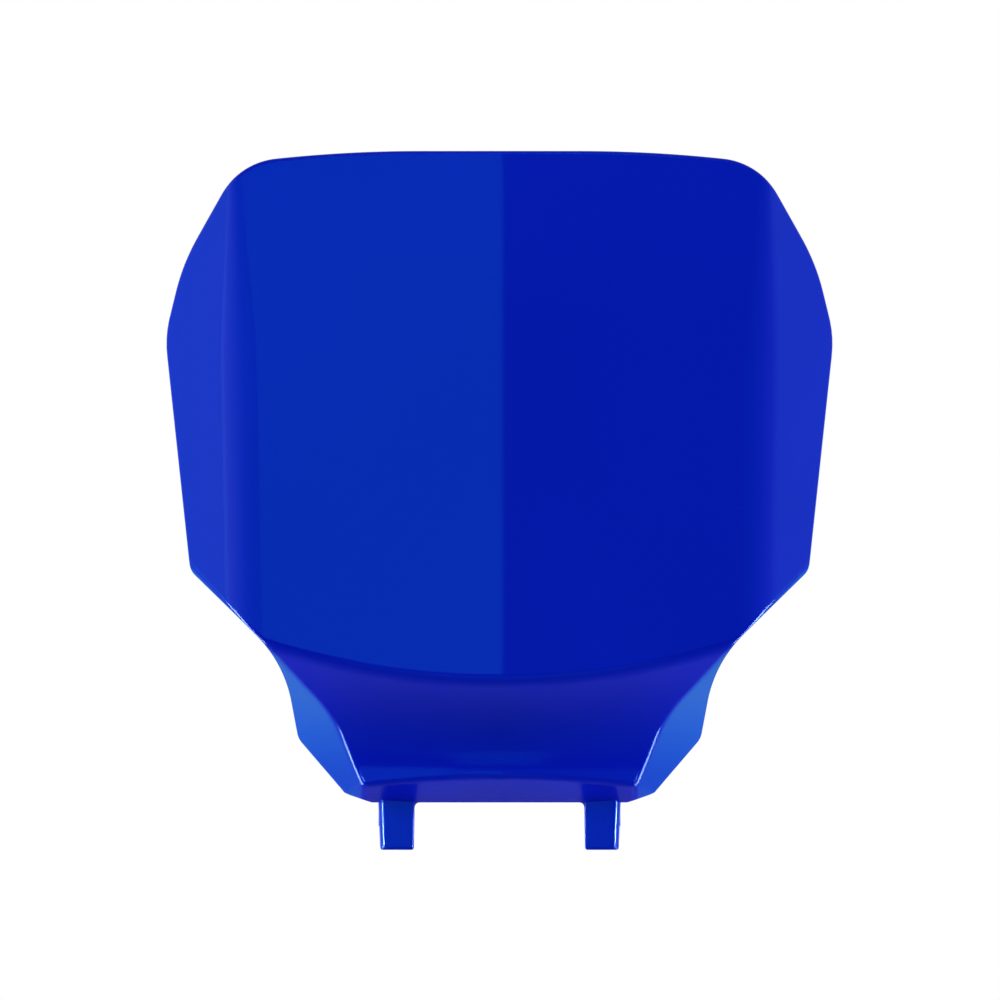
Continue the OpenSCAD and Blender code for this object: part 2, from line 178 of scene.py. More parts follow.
def rounded(corners: list[tuple[float, ...]], steps: int, closed: bool = False) -> np.ndarray:
    """A path through corners (u, v) or (u, v, radius), with arcs where a radius is given.

    Args:
        corners: Corners in order.
        steps: Chords of each arc.
        closed: Whether the last corner joins the first.

    Returns:
        The path's points, one row each.
    """
    count = len(corners)
    at = [np.array(c[:2], float) for c in corners]
    parts = []
    for i, c in enumerate(corners):
        inner = closed or 0 < i < count - 1
        if inner and len(c) > 2:
            parts.append(corner_arc(at[i - 1], at[i], at[(i + 1) % count], c[2], steps))
        else:
            parts.append(at[i][None])
    return np.concatenate(parts)


def drawn_in(corners: list[tuple[float, float, float]], d: float) -> list[tuple[float, float, float]]:
    """Moves a path's corners by d to the left of both of their sides, with radii to match.

    A corner moves by the sum of its two sides' leftward directions, times d over 1 plus their dot
    product. A radius shrinks by d where the path turns left and grows by d where it turns right.

    Args:
        corners: Corners (u, v, radius) in order.
        d: Distance of the new path.

    Returns:
        The new path's corners.
    """
    at = np.array(corners)[:, :2]
    along = unit(np.diff(at, axis=0))
    left = np.stack([-along[:, 1], along[:, 0]], -1)
    m, n = np.concatenate([left[:1], left]), np.concatenate([left, left[-1:]])
    moved = at + (m + n) * d / (1 + (m * n).sum(-1, keepdims=True))
    turns_left = m[:, 0] * n[:, 1] - m[:, 1] * n[:, 0] > 0
    radii = np.array(corners)[:, 2]
    radii = np.where(turns_left, np.maximum(LEAST_RADIUS, radii - d), radii + d)
    return [tuple(row) for row in np.column_stack([moved, radii]).tolist()]


def put_up(name: str, data: bpy.types.ID) -> bpy.types.Object:
    """Makes an object of a mesh, lamp or camera and links it to the scene."""
    made = bpy.data.objects.new(name, data)
    bpy.context.scene.collection.objects.link(made)
    return made


class Moulding:
    """Collects grids of points with their normals and makes one mesh of them."""

    def __init__(self) -> None:
        """Starts with nothing in it."""
        self.points: list[np.ndarray] = []
        self.normals: list[np.ndarray] = []
        self.backs: list[np.ndarray] = []
        self.faces: list[np.ndarray] = []
        self.lids: list[list[int]] = []
        self.count = 0

    def add(self, points: np.ndarray, normals: np.ndarray, back: float | np.ndarray = 0.0) -> np.ndarray:
        """Adds points and tells which numbers they got.

        Args:
            points: Places in the construction frame, in millimetres, in any grid shape.
            normals: Outward directions, in the same shape.
            back: Share of the unpolished mould half, for all points or for each.

        Returns:
            The points' numbers, in the grid's shape.
        """
        shape = points.shape[:-1]
        size = int(np.prod(shape))
        self.points.append(points.reshape(-1, 3))
        self.normals.append(normals.reshape(-1, 3))
        self.backs.append(np.broadcast_to(back, shape).reshape(-1))
        numbers = np.arange(self.count, self.count + size).reshape(shape)
        self.count += size
        return numbers

    def patch(self, numbers: np.ndarray, flip: bool = False) -> None:
        """Covers a grid of point numbers with four-cornered faces.

        Args:
            numbers: Point numbers; a face's front is where its first axis turns to its second by
                the left hand.
            flip: Whether the faces look the other way.
        """
        a, b, c, d = numbers[:-1, :-1], numbers[:-1, 1:], numbers[1:, 1:], numbers[1:, :-1]
        quads = np.stack([a, d, c, b] if flip else [a, b, c, d], -1)
        self.faces.append(quads.reshape(-1, 4))

    def loft(self, loops: np.ndarray, back: float | np.ndarray = 0.0, ring: bool = False) -> None:
        """Joins closed loops one after another, each point to the same point of the next loop.

        Args:
            loops: Loops by points by three, wound so that faces look outwards.
            back: Share of the unpolished mould half.
            ring: Whether the last loop joins the first. Otherwise both ends are closed flat.
        """
        numbers = self.add(loops, np.zeros_like(loops), back)
        around = np.concatenate([numbers, numbers[:, :1]], 1)
        self.patch(np.concatenate([around, around[:1]]) if ring else around)
        if not ring:
            self.lids += [numbers[0, ::-1].tolist(), numbers[-1].tolist()]

    def object(self, name: str) -> bpy.types.Object:
        """Makes the mesh object, with smooth shading by its own normals.

        A normal that was left at zero becomes the mean of its faces' normals, each weighted by the
        face's area, so that a large flat face stays flat beside a small rounding.

        Args:
            name: Name of the object.

        Returns:
            The linked object.
        """
        points = np.concatenate(self.points)
        quads = np.concatenate(self.faces)
        normals = np.concatenate(self.normals)
        corners = points[quads]
        area = np.cross(corners[:, 2] - corners[:, 0], corners[:, 3] - corners[:, 1])
        summed = np.zeros_like(points)
        for k in range(4):
            np.add.at(summed, quads[:, k], area)
        for lid in self.lids:
            flat = points[lid]
            summed[lid] += np.cross(flat - flat[0], np.roll(flat, -1, 0) - flat[0]).sum(0)
        bare = np.linalg.norm(normals, axis=1) < 0.5
        normals[bare] = unit(summed[bare])
        mesh = bpy.data.meshes.new(name)
        mesh.from_pydata(((points - ORIGIN) * METRES).tolist(), [], quads.tolist() + self.lids)
        mesh.polygons.foreach_set("use_smooth", np.ones(len(mesh.polygons), bool))
        mesh.attributes.new("back_side", "FLOAT", "POINT").data.foreach_set(
            "value", np.concatenate(self.backs).astype(np.float32)
        )
        mesh.normals_split_custom_set_from_vertices(normals.tolist())
        mesh.update()
        LOG.info("%s: %d points, %d faces", name, len(points), len(quads))
        return put_up(name, mesh)


@dataclass
class BoardShell:
    """The creased wall: face, wings, top band, throat, lip and side walls, with a rounded rim.

    The wall is a sheet of even thickness laid around a middle surface y(x, z), which is a sum of
    straight slopes that start at creases, each crease rounded by a parabola.
    """

    board_h: float = 231.0
    wide_w: float = 237.2
    wide_z: float = 165.3
    wide_r: float = 40.0
    shoulder_w: float = 224.6
    shoulder_z: float = 191.1
    shoulder_r: float = 75.0
    top_w: float = 184.4
    top_drop: float = 4.0
    top_r: float = 25.0
    crown_w: float = 106.0
    crown_r: float = 480.0
    wing_w: float = 219.4
    wing_z: float = 82.2
    wing_r: float = 7.0
    waist_w: float = 154.0
    waist_z: float = 50.2
    waist_r: float = 45.0
    hip_w: float = 142.8
    hip_z: float = 22.7
    hip_r: float = 8.0
    toe_w: float = 109.6
    toe_z: float = 3.2
    toe_r: float = 2.0
    sole_w: float = 91.4
    sole_r: float = 6.0
    face_tilt: float = 7.0
    face_round: float = 5.0
    fold_w: float = 181.0
    wing_tilt: float = 40.0
    fold_round: float = 7.0
    fold_crisp: float = 2.2
    fold_crisp_z: float = 150.0
    fold_lean_z: float = 60.0
    fold_lean: float = 1.1
    fold_bend: float = 12.0
    band_h: float = 32.5
    band_tilt: float = 6.0
    band_round: float = 3.0
    throat_z: float = 43.5
    throat_r: float = 270.0
    throat_depth: float = 24.5
    throat_bow: float = 5.4
    throat_round: float = 2.8
    lip_h: float = 9.6
    lip_tilt: float = 62.0
    toe_flare: float = 48.0
    lip_round: float = 1.6
    crease_w: float = 95.2
    turn_w: float = 117.2
    turn_z: float = 32.0
    turn_r: float = 48.0
    roll_rise: float = 3.6
    side_tilt: float = 56.0
    crease_round: float = 1.4
    roll_round: float = 1.8
    wall: float = 2.8
    lip_row_rise: float = 2.6
    throat_row_drop: float = 25.0
    crown_row_drop: float = 13.0
    rim_room: float = 3.0
    crease_overrun: float = 0.5
    crown_fold_share: float = 0.2
    throat_corner: float = 0.86
    probe: float = 0.02
    front_softness: float = 0.75
    back_softness: float = 1.75
    strip_rows: tuple[int, ...] = (10, 54, 28, 44, 22)
    face_columns: int = 64
    wing_columns: int = 34
    face_pull: float = 0.72
    wing_pull: float = 0.6
    row_pull: float = 0.6
    rim_steps: int = 8
    arc_steps: int = 24
    rim: np.ndarray = field(init=False)
    rim_top: np.ndarray = field(init=False)
    rim_foot: np.ndarray = field(init=False)
    crease: np.ndarray = field(init=False)
    keys: list[tuple[float, float, float]] = field(init=False)

    def __post_init__(self) -> None:
        """Works out the outline, the rim line, the side crease and the key rows from the sizes."""
        corners = [
            (0.0, 0.0, 0.0),
            (self.sole_w / 2, 0.0, self.sole_r),
            (self.toe_w / 2, self.toe_z, self.toe_r),
            (self.hip_w / 2, self.hip_z, self.hip_r),
            (self.waist_w / 2, self.waist_z, self.waist_r),
            (self.wing_w / 2, self.wing_z, self.wing_r),
            (self.wide_w / 2, self.wide_z, self.wide_r),
            (self.shoulder_w / 2, self.shoulder_z, self.shoulder_r),
            (self.top_w / 2, self.board_h - self.top_drop, self.top_r),
            (self.crown_w / 2, self.board_h, self.crown_r),
            (0.0, self.board_h, 0.0),
        ]
        outline = rounded(corners, self.arc_steps)
        inner = drawn_in(corners, self.wall / 2)
        self.rim = rounded(inner, self.arc_steps)
        self.rim_top = self.rim[self.rim[:, 1] > self.shoulder_z][::-1]
        self.rim_foot = self.rim[self.rim[:, 1] < self.hip_z]
        roll_z = self.wing_z + self.roll_rise
        roll = np.array([float(np.interp(roll_z, outline[:, 1], outline[:, 0])), roll_z])
        turn = np.array([self.turn_w / 2, self.turn_z])
        foot = np.array([self.crease_w / 2, self.lip_h - self.throat_bow / self.slope(self.lip_tilt)])
        low, high = foot + (foot - turn) * self.crease_overrun, roll + (roll - turn) * self.crease_overrun
        self.crease = rounded([tuple(low), (*turn, self.turn_r), tuple(high)], self.arc_steps)
        sole = float(self.rim_foot_z(self.crease_x(self.rim_foot_z(self.crease_x(0.0)))))
        crown = self.board_h - self.top_drop - self.top_r * self.crown_fold_share
        crown_fold = float(self.rim_top_z(self.wing_fold_x(crown)))
        band = self.board_h - self.band_h
        throat = self.wing_z - self.throat_row_drop
        toe = inner[2][1]
        self.keys = [
            (self.wall / 2, sole, toe),
            (self.lip_h, foot[1], toe + self.lip_row_rise),
            (self.throat_z, throat, throat),
            (self.wing_z, self.wing_z, self.wing_z),
            (band, band, band),
            (self.board_h - self.wall / 2, crown_fold, crown_fold - self.crown_row_drop),
        ]

    @staticmethod
    def slope(degrees: float) -> float:
        """Rise over run of an angle in degrees."""
        return math.tan(math.radians(degrees))

    def rim_x(self, z: np.ndarray | float) -> np.ndarray:
        """Half-width of the rim line at height z."""
        return np.interp(z, self.rim[:, 1], self.rim[:, 0])

    def rim_top_z(self, x: np.ndarray | float) -> np.ndarray:
        """Height of the rim line along the crown, at x."""
        return np.interp(x, self.rim_top[:, 0], self.rim_top[:, 1])

    def rim_foot_z(self, x: np.ndarray | float) -> np.ndarray:
        """Height of the rim line along the sole, at x."""
        return np.interp(x, self.rim_foot[:, 0], self.rim_foot[:, 1])

    def crease_x(self, z: np.ndarray | float) -> np.ndarray:
        """Place of the side crease at height z."""
        return np.interp(z, self.crease[:, 1], self.crease[:, 0])

    def wing_fold_x(self, z: np.ndarray | float) -> np.ndarray:
        """Place of the wing's fold at height z: upright at first, then leaning outwards a little."""
        z = np.asarray(z, float)
        return self.fold_w / 2 + self.slope(self.fold_lean) * bend(z - self.fold_lean_z, self.fold_bend)

    def fold_x(self, z: np.ndarray | float) -> np.ndarray:
        """The grid's line between face and wing, and between throat and side wall below it.

        It keeps clear of the rim between the turn of the side creases and the wings, where the side
        wall runs out.
        """
        creased = np.minimum(self.wing_fold_x(z), self.crease_x(z))
        clear = np.minimum(creased, self.rim_x(z) - self.rim_room)
        height = np.asarray(z)
        return np.where((height > self.turn_z) & (height < self.wing_z), clear, creased)

    def throat_edge_z(self, x: np.ndarray) -> np.ndarray:
        """Height of the throat's upper edge: an arc of a circle that hangs on its lowest point."""
        return self.throat_z + self.throat_r - np.sqrt(self.throat_r**2 - x * x)

    def face_y(self, x: np.ndarray, z: np.ndarray, soft: float) -> np.ndarray:
        """Depth of the face, wings and top band: one slope from each of their creases, summed."""
        tan_face = self.slope(self.face_tilt)
        tan_wing = self.slope(self.face_tilt + self.wing_tilt) - tan_face
        fold_round = mixed(self.fold_round, self.fold_crisp, ease(z, self.fold_crisp_z, self.board_h))
        creased = tan_face * (bend(x, self.face_round) + bend(-x, self.face_round) - self.face_round / 4)
        winged = tan_wing * bend(x - self.wing_fold_x(z), fold_round)
        banded = self.slope(self.band_tilt) * bend(z - (self.board_h - self.band_h), self.band_round * soft)
        return creased + winged + banded

    def throat_y(self, x: np.ndarray, z: np.ndarray, soft: float) -> np.ndarray:
        """Depth of the throat: its full depth times t (2 - t), t running down from its upper edge.

        It is steepest under the upper edge and upright at its foot, and its full depth grows by the
        square of x towards the side creases.
        """
        top = self.throat_edge_z(x)
        t = np.minimum(1, bend(top - z, self.throat_round * soft) / (top - self.lip_h))
        return (self.throat_depth + self.throat_bow * (2 * x / self.crease_w) ** 2) * t * (2 - t)

    def side_y(self, x: np.ndarray, z: np.ndarray, soft: float) -> np.ndarray:
        """Depth that the side walls and the rolled edge add outside the side crease."""
        w = mixed(self.crease_round, self.roll_round, ease(z, self.turn_z, self.waist_z)) * soft
        return self.slope(self.side_tilt) * bend(x - self.crease_x(z), w)

    def lip_y(self, x: np.ndarray, z: np.ndarray) -> np.ndarray:
        """Depth of the undercut lip: a slope that is creased like the face, its ends turned back."""
        ends = self.slope(self.toe_flare) * bend(x - self.crease_w / 2, self.lip_round)
        undercut = self.slope(self.lip_tilt) * (self.lip_h - z)
        return self.throat_depth + self.slope(self.face_tilt) * x + ends + undercut

    def mid_y(self, x_any: np.ndarray, z: np.ndarray, soft: float = 1.0) -> np.ndarray:
        """Depth of the wall's middle: the larger of wall and lip, rounded where they meet.

        Args:
            x_any: Place across, left or right.
            z: Height.
            soft: Factor on the width of the creases' roundings.

        Returns:
            Depth behind the centre crease.
        """
        x = np.abs(x_any)
        shell = self.face_y(x, z, soft) + self.throat_y(x, z, soft) + self.side_y(x, z, soft)
        return shell + bend(self.lip_y(x, z) - shell, self.lip_round * soft)

    def sheet(self, p: np.ndarray, soft: float) -> tuple[np.ndarray, np.ndarray]:
        """Middle of the wall and the direction across it, by central differences.

        Args:
            p: Places (x, z) seen from the front.
            soft: Factor on the width of the creases' roundings.

        Returns:
            Points, and unit normals (-slope across, 1, -slope upwards) that look back.
        """
        x, z, h = p[..., 0], p[..., 1], self.probe
        across = (self.mid_y(x + h, z, soft) - self.mid_y(x - h, z, soft)) / (2 * h)
        upwards = (self.mid_y(x, z + h, soft) - self.mid_y(x, z - h, soft)) / (2 * h)
        middle = np.stack([x, self.mid_y(x, z, soft), z], -1)
        return middle, unit(np.stack([-across, np.ones_like(across), -upwards], -1))

    def seam(self, x: float, low: float, high: float, count: int) -> np.ndarray:
        """Line (y, z) up the wall's middle at x, as count points from one height to the other."""
        z = np.linspace(low, high, count)
        return np.stack([self.mid_y(np.full_like(z, x), z), z], -1)

    def key_row(self, k: int, s: np.ndarray, zone: Zone) -> np.ndarray:
        """Key row k seen from the front.

        Args:
            k: Number of the key row, from the sole up to the crown.
            s: Shares from the centre line to the fold, or from the fold to the rim line.
            zone: Which of those two stretches.

        Returns:
            Points (x, z), one row for each share.
        """
        centre, fold, edge = self.keys[k]
        if zone is Zone.WING:
            z = mixed(fold, edge, s)
            if k == len(self.keys) - 1:
                return np.stack([self.rim_x(z), z], -1)
            near = np.array([float(self.fold_x(fold)), fold])
            far = np.array([float(self.rim_x(edge)), edge])
            return near + (far - near) * s[:, None]
        x = s * self.fold_x(fold)
        z = mixed(centre, fold, s)
        if k == 0:
            z = self.rim_foot_z(x)
        elif k == 1:
            z = z + (centre - fold) * (s - s * s)
        elif k == 2:
            z = mixed(self.throat_edge_z(x), z, ease(s, self.throat_corner, 1))
        elif k == len(self.keys) - 1:
            z = self.rim_top_z(x)
        return np.stack([x, z], -1)

    def strip(self, k: int, t: np.ndarray, s: np.ndarray, zone: Zone) -> np.ndarray:
        """Points between two key rows: a straight blend, plus what its two ends are off that line.

        Args:
            k: Number of the strip's lower key row.
            t: Shares of the way up the strip.
            s: Shares across the zone.
            zone: Face or wing.

        Returns:
            Points (x, z) in a grid of t by s.
        """
        low, high = self.key_row(k, s, zone), self.key_row(k + 1, s, zone)
        heights = np.stack([mixed(np.array(self.keys[k]), np.array(self.keys[k + 1]), v) for v in t])
        fold = np.stack([self.fold_x(heights[:, 1]), heights[:, 1]], -1)
        if zone is Zone.FACE:
            near, far = np.stack([np.zeros_like(t), heights[:, 0]], -1), fold
        else:
            near, far = fold, np.stack([self.rim_x(heights[:, 2]), heights[:, 2]], -1)
        up, across = t[:, None, None], s[None, :, None]
        near_off = near[:, None] - mixed(low[:1], high[:1], up)
        far_off = far[:, None] - mixed(low[-1:], high[-1:], up)
        return mixed(low[None], high[None], up) + (1 - across) * near_off + across * far_off

    def right_half(self) -> np.ndarray:
        """Right half of the grid seen from the front: rows from the sole up, columns outwards."""
        face = eased_steps(self.face_columns, self.face_pull)
        wing = eased_steps(self.wing_columns, self.wing_pull)
        rows = []
        for k, count in enumerate(self.strip_rows):
            t = eased_steps(count, self.row_pull)
            if k < len(self.strip_rows) - 1:
                t = t[:-1]
            inner = self.strip(k, t, face, Zone.FACE)
            outer = self.strip(k, t, wing, Zone.WING)
            rows.append(np.concatenate([inner, outer[:, 1:]], 1))
        return np.concatenate(rows)

    def build(self) -> bpy.types.Object:
        """Makes the closed wall: front and back grids half a wall off the middle, and the rim.

        Across the rim the angle runs from the front (0) to the back (half a turn), and the point lies
        half a wall from the middle along: outwards times its sine, less the normal times its cosine.
        """
        right = self.right_half()
        plan = np.concatenate([right[:, :0:-1] * np.array([-1.0, 1.0]), right], 1)
        ids = np.arange(plan.shape[0] * plan.shape[1]).reshape(plan.shape[:2])
        path = np.concatenate([ids[0, :-1], ids[:-1, -1], ids[-1, :0:-1], ids[:0:-1, 0]])
        rim = plan.reshape(-1, 2)[path]
        along = np.roll(rim, -1, 0) - np.roll(rim, 1, 0)
        out = unit(np.stack([along[:, 1], -along[:, 0]], -1))
        half = self.wall / 2
        moulding = Moulding()
        rings = []
        for turn in np.linspace(0, np.pi, self.rim_steps + 1):
            back = (1 - math.cos(turn)) / 2
            soft = mixed(self.front_softness, self.back_softness, back)
            if back in (0.0, 1.0):
                middle, normal = self.sheet(plan, soft)
                aim = normal if back else -normal
                numbers = moulding.add(middle + half * aim, aim, back)
                moulding.patch(numbers, flip=bool(back))
                rings.append(numbers.reshape(-1)[path])
                continue
            middle, normal = self.sheet(rim, soft)
            rise = -(normal[:, ::2] / normal[:, 1:2] * out).sum(-1)
            sideways = unit(np.stack([out[:, 0], rise, out[:, 1]], -1))
            aim = sideways * math.sin(turn) - normal * math.cos(turn)
            rings.append(moulding.add(middle + half * aim, aim, back))
        band = np.stack(rings)
        moulding.patch(np.concatenate([band, band[:, :1]], 1), flip=True)
        return moulding.object("board_shell")


def plate(outline: np.ndarray, x: float, thickness: float, soft: float) -> np.ndarray:
    """Loops of an upright plate whose outline is drawn in depth and height, with softened edges.

    Args:
        outline: Closed outline (y, z), wound so that y turns to z.
        x: Place of the plate's middle.
        thickness: Thickness along x.
        soft: Radius of its edges.

    Returns:
        Loops by points by three, from its left face to its right face.
    """
    along = np.roll(outline, -1, 0) - np.roll(outline, 1, 0)
    inwards = unit(np.stack([-along[:, 1], along[:, 0]], -1))
    edge = [edge_step(soft, a) for a in QUARTER[::-1]]
    left = [(rise - thickness / 2, inset) for rise, inset in edge]
    loops = []
    for shift, inset in left + [(-shift, inset) for shift, inset in left[::-1]]:
        flat = outline + inwards * inset
        loops.append(np.stack([np.full(len(flat), x + shift), flat[:, 0], flat[:, 1]], -1))
    return np.stack(loops)


@dataclass
class PlugPegs:
    """Two tapered pegs below the lower edge, hollow from behind, with webs up the throat's back."""

    shell: BoardShell
    peg_gap: float = 60.0
    peg_w: float = 13.0
    peg_taper: float = 1.0
    peg_len: float = 16.8
    peg_depth: float = 11.0
    peg_wall: float = 2.4
    peg_outer_r: float = 3.0
    peg_inner_r: float = 0.8
    peg_root_r: float = 1.6
    web_h: float = 34.0
    web_share: float = 0.9
    web_soft: float = 0.3
    set_in: float = 0.4
    inner_taper: float = 0.3
    bite: float = 0.5
    soft: float = 0.35
    foot_r: float = 1.0
    foot_inner_r: float = 0.1
    floor_step: float = 0.05
    peg_satin: float = 0.3
    arc_steps: int = 6
    root_steps: int = 8
    foot_rows: int = 7
    side_rows: int = 12
    seam_rows: int = 20

    @property
    def peg_x(self) -> float:
        """Centre of a peg's root."""
        return self.peg_gap / 2 + self.peg_w / 2

    @property
    def peg_y(self) -> float:
        """Front of a peg, just inside the lip's lower edge."""
        half = self.shell.wall / 2
        return float(self.shell.mid_y(np.array(self.peg_gap / 2), np.array(half))) - half * self.set_in

    def section(self, z: float, inset: float, hollow: bool, side: Side) -> np.ndarray:
        """Cross-section of a peg: round the outside from back to back, then round the hollow.

        Below the hollow's floor the second half of the points lies evenly along the back instead.

        Args:
            z: Height, 0 at the root and down to minus the peg's length.
            inset: How far the outside is drawn in, and the hollow's sides are moved apart.
            hollow: Whether the section lies above the hollow's floor.
            side: Which peg.

        Returns:
            Closed loop of points, wound so that a loft upwards looks outwards.
        """
        w, d = self.peg_w / 2 - inset, self.peg_depth - inset
        c, front = self.peg_w / 2 - self.peg_wall + inset, self.peg_wall - inset
        loop = rounded(
            [
                (-w, d, self.soft),
                (-w, inset, max(self.peg_inner_r - inset, self.foot_inner_r)),
                (w, inset, self.peg_outer_r - inset),
                (w, d, self.soft),
                (c, d, self.soft),
                (c, front, self.soft),
                (-c, front, self.soft),
                (-c, d, self.soft),
            ],
            self.arc_steps,
            closed=True,
        )
        half = len(loop) // 2
        if not hollow:
            loop[half:] = np.stack([np.linspace(c, -c, half), np.full(half, d)], -1)
        down = -min(z, 0.0) / self.peg_len * self.peg_taper
        share = np.where(loop[:, 0] < 0, self.inner_taper, 1 - self.inner_taper)
        narrow = share * down * np.abs(loop[:, 0]) / (self.peg_w / 2)
        x = loop[:, 0] - np.sign(loop[:, 0]) * narrow
        return side.on(np.stack([x + self.peg_x, loop[:, 1] + self.peg_y, np.full(len(loop), z)], -1))

    def peg(self, side: Side) -> np.ndarray:
        """Sections of one peg from its rounded foot, past the hollow's floor, up into the lip."""
        foot = [edge_step(self.foot_r, a) for a in np.radians(np.linspace(90, 0, self.foot_rows))]
        floor = -self.peg_len + self.peg_wall
        top = self.shell.wall / 2
        sides = np.linspace(floor + self.floor_step, top - self.soft, self.side_rows)
        sections = [self.section(rise - self.peg_len, inset, False, side) for rise, inset in foot]
        sections += [self.section(z, 0.0, False, side) for z in (floor - self.soft, floor)]
        sections += [self.section(z, 0.0, True, side) for z in sides]
        for a in QUARTER[1:]:
            drop, inset = edge_step(self.soft, a)
            sections.append(self.section(top - drop, inset, True, side))
        return np.stack(sections)

    def root_loop(self, side: Side) -> np.ndarray:
        """Small fillet beside the peg's inner side, as an upright wedge as deep as the wall."""
        angle = np.linspace(0, np.pi / 2, self.root_steps + 1)
        r, b = self.peg_root_r, self.bite
        arc = np.stack([-r + r * np.cos(angle), -r + r * np.sin(angle)], -1)
        outline = np.concatenate([arc, [[-r, b], [b, b], [b, -r]]])
        x = outline[:, 0] + self.peg_x - self.peg_w / 2
        low = self.peg_y + b
        loops = [np.stack([x, np.full(len(x), y), outline[:, 1]], -1) for y in (low, low + self.shell.wall)]
        return side.on(np.stack(loops))

    def web_outline(self, x: float) -> np.ndarray:
        """Outline (y, z) of a web: down the peg's side, up the seam in the wall, and back down."""
        seam = self.shell.seam(x, self.bite, self.web_h, self.seam_rows)
        back = self.peg_y + self.peg_depth - self.bite
        free = [[seam[-1, 0] + self.shell.wall, self.web_h], [back, self.peg_depth / 3]]
        foot = [[back, -self.peg_len / 2], [self.peg_y + self.shell.wall, -self.peg_len / 2]]
        return np.concatenate([seam, free, foot])[::-1]

    def build(self) -> bpy.types.Object:
        """Makes both pegs, their floors, fillets and webs as one object."""
        moulding = Moulding()
        for side in Side:
            moulding.loft(self.peg(side), self.peg_satin)
            moulding.loft(self.root_loop(side), 0.0)
            for x in (self.peg_x - self.peg_w / 2, self.peg_x + self.peg_w / 2 - self.peg_wall):
                at = side.value * (x + self.peg_wall / 2)
                web = plate(self.web_outline(at), at, self.peg_wall * self.web_share, self.web_soft)
                moulding.loft(web, 1.0)
        return moulding.object("plug_pegs")


@dataclass
class FixingLug:
    """Flat lug behind the face: a rounded tongue with a bossed screw hole, on two gussets."""

    shell: BoardShell
    lug_z: float = 150.0
    lug_reach: float = 34.0
    lug_t: float = 4.0
    lug_w: float = 24.0
    lug_root_w: float = 36.0
    screw_d: float = 6.5
    boss_d: float = 15.0
    boss_h: float = 9.0
    gusset_gap: float = 20.0
    gusset_t: float = 2.4
    gusset_h: float = 34.0
    gusset_soft: float = 0.3
    soft: float = 0.4
    side_steps: int = 14
    end_steps: int = 48
    root_steps: int = 24
    seam_rows: int = 12

    def tongue(self, inset: float) -> np.ndarray:
        """Outline (x, y) of the lug seen from above, its root inside the board's wall.

        Args:
            inset: How far the free sides are drawn in.

        Returns:
            Closed loop of even length, wound from x towards y.
        """
        half, root = self.lug_w / 2 - inset, self.lug_root_w / 2 - inset
        deep = float(self.shell.mid_y(np.array(root), np.array(self.lug_z)))
        knee = self.lug_reach - self.lug_w / 3
        side = np.linspace([root, deep], [half, knee], self.side_steps)
        angle = np.linspace(0, np.pi, self.end_steps + 1)
        end = np.stack([half * np.cos(angle), self.lug_reach + half * np.sin(angle)], -1)
        base = np.linspace([-root, deep], [root, deep], self.root_steps)[1:-1]
        base[:, 1] = self.shell.mid_y(base[:, 0], np.full(len(base), self.lug_z))
        return np.concatenate([side, end, side[::-1] * np.array([-1.0, 1.0]), base])

    def round_hole(self, outline: np.ndarray, r: float) -> np.ndarray:
        """The outline's points drawn in towards the hole's axis, each to the radius r."""
        centre = np.array([0.0, self.lug_reach])
        return centre + unit(outline - centre) * r

    def body(self) -> np.ndarray:
        """Loops of the lug from the hole's upper mouth, over the tongue and the boss, back up it."""
        edge = [edge_step(self.soft, a) for a in QUARTER]
        fillet = [edge_step(2 * self.soft, a) for a in QUARTER]
        bore, boss = self.screw_d / 2, self.boss_d / 2
        outer = self.tongue(0)
        flats = [(self.round_hole(outer, bore + self.soft), 0.0)]
        flats += [(self.tongue(inset), -drop) for inset, drop in edge]
        flats += [(self.tongue(inset), rise - self.lug_t) for rise, inset in edge]
        flats += [(self.round_hole(outer, boss + outset), -self.lug_t - drop) for outset, drop in fillet]
        flats += [(self.round_hole(outer, boss - inset), rise - self.boss_h) for rise, inset in edge]
        flats.append((self.round_hole(outer, bore + self.soft), -self.boss_h))
        flats += [(self.round_hole(outer, bore), z) for z in (self.soft - self.boss_h, -self.soft)]
        return np.stack([np.column_stack([flat, np.full(len(flat), z + self.lug_z)]) for flat, z in flats])

    def gusset_outline(self, x: float) -> np.ndarray:
        """Outline (y, z) of a gusset: along the lug, down its free edge, and up inside the wall."""
        low, high = self.lug_z - self.gusset_h, self.lug_z - self.lug_t / 2
        seam = self.shell.seam(x, low, high, self.seam_rows)
        tip = self.lug_reach - self.boss_d / 4
        free = [[tip, high], [tip, self.lug_z - self.lug_t - self.gusset_t]]
        foot = [[seam[0, 0] + self.shell.wall, low]]
        return np.concatenate([seam, free, foot])[::-1]

    def build(self) -> bpy.types.Object:
        """Makes the lug and its gussets as one object."""
        moulding = Moulding()
        moulding.loft(self.body(), 1.0, ring=True)
        for side in Side:
            x = side.value * self.gusset_gap / 2
            moulding.loft(plate(self.gusset_outline(x), x, self.gusset_t, self.gusset_soft), 1.0)
        return moulding.object("fixing_lug")


class Bench:
    """Adds nodes to one node tree."""

    def __init__(self, tree: bpy.types.NodeTree) -> None:
        """Starts with an empty tree."""
        self.tree = tree
        tree.nodes.clear()

    def node(self, kind: str, settings: dict | None = None, **sockets: object) -> bpy.types.Node:
        """Adds one node.

        Args:
            kind: Blender's name of the node type.
            settings: Properties that are set before the sockets.
            **sockets: Values or links of its inputs, with _ for a space, or i and a number.

        Returns:
            The new node.
        """
        made = self.tree.nodes.new(kind)
        for key, value in (settings or {}).items():
            setattr(made, key, value)
        for key, value in sockets.items():
            number = key[1:]
            socket = made.inputs[int(number) if key[0] == "i" and number.isdigit() else key.replace("_", " ")]
            if isinstance(value, Term):
                value = value.socket
            if isinstance(value, bpy.types.NodeSocket):
                self.tree.links.new(value, socket)
            else:
                socket.default_value = value
        return made


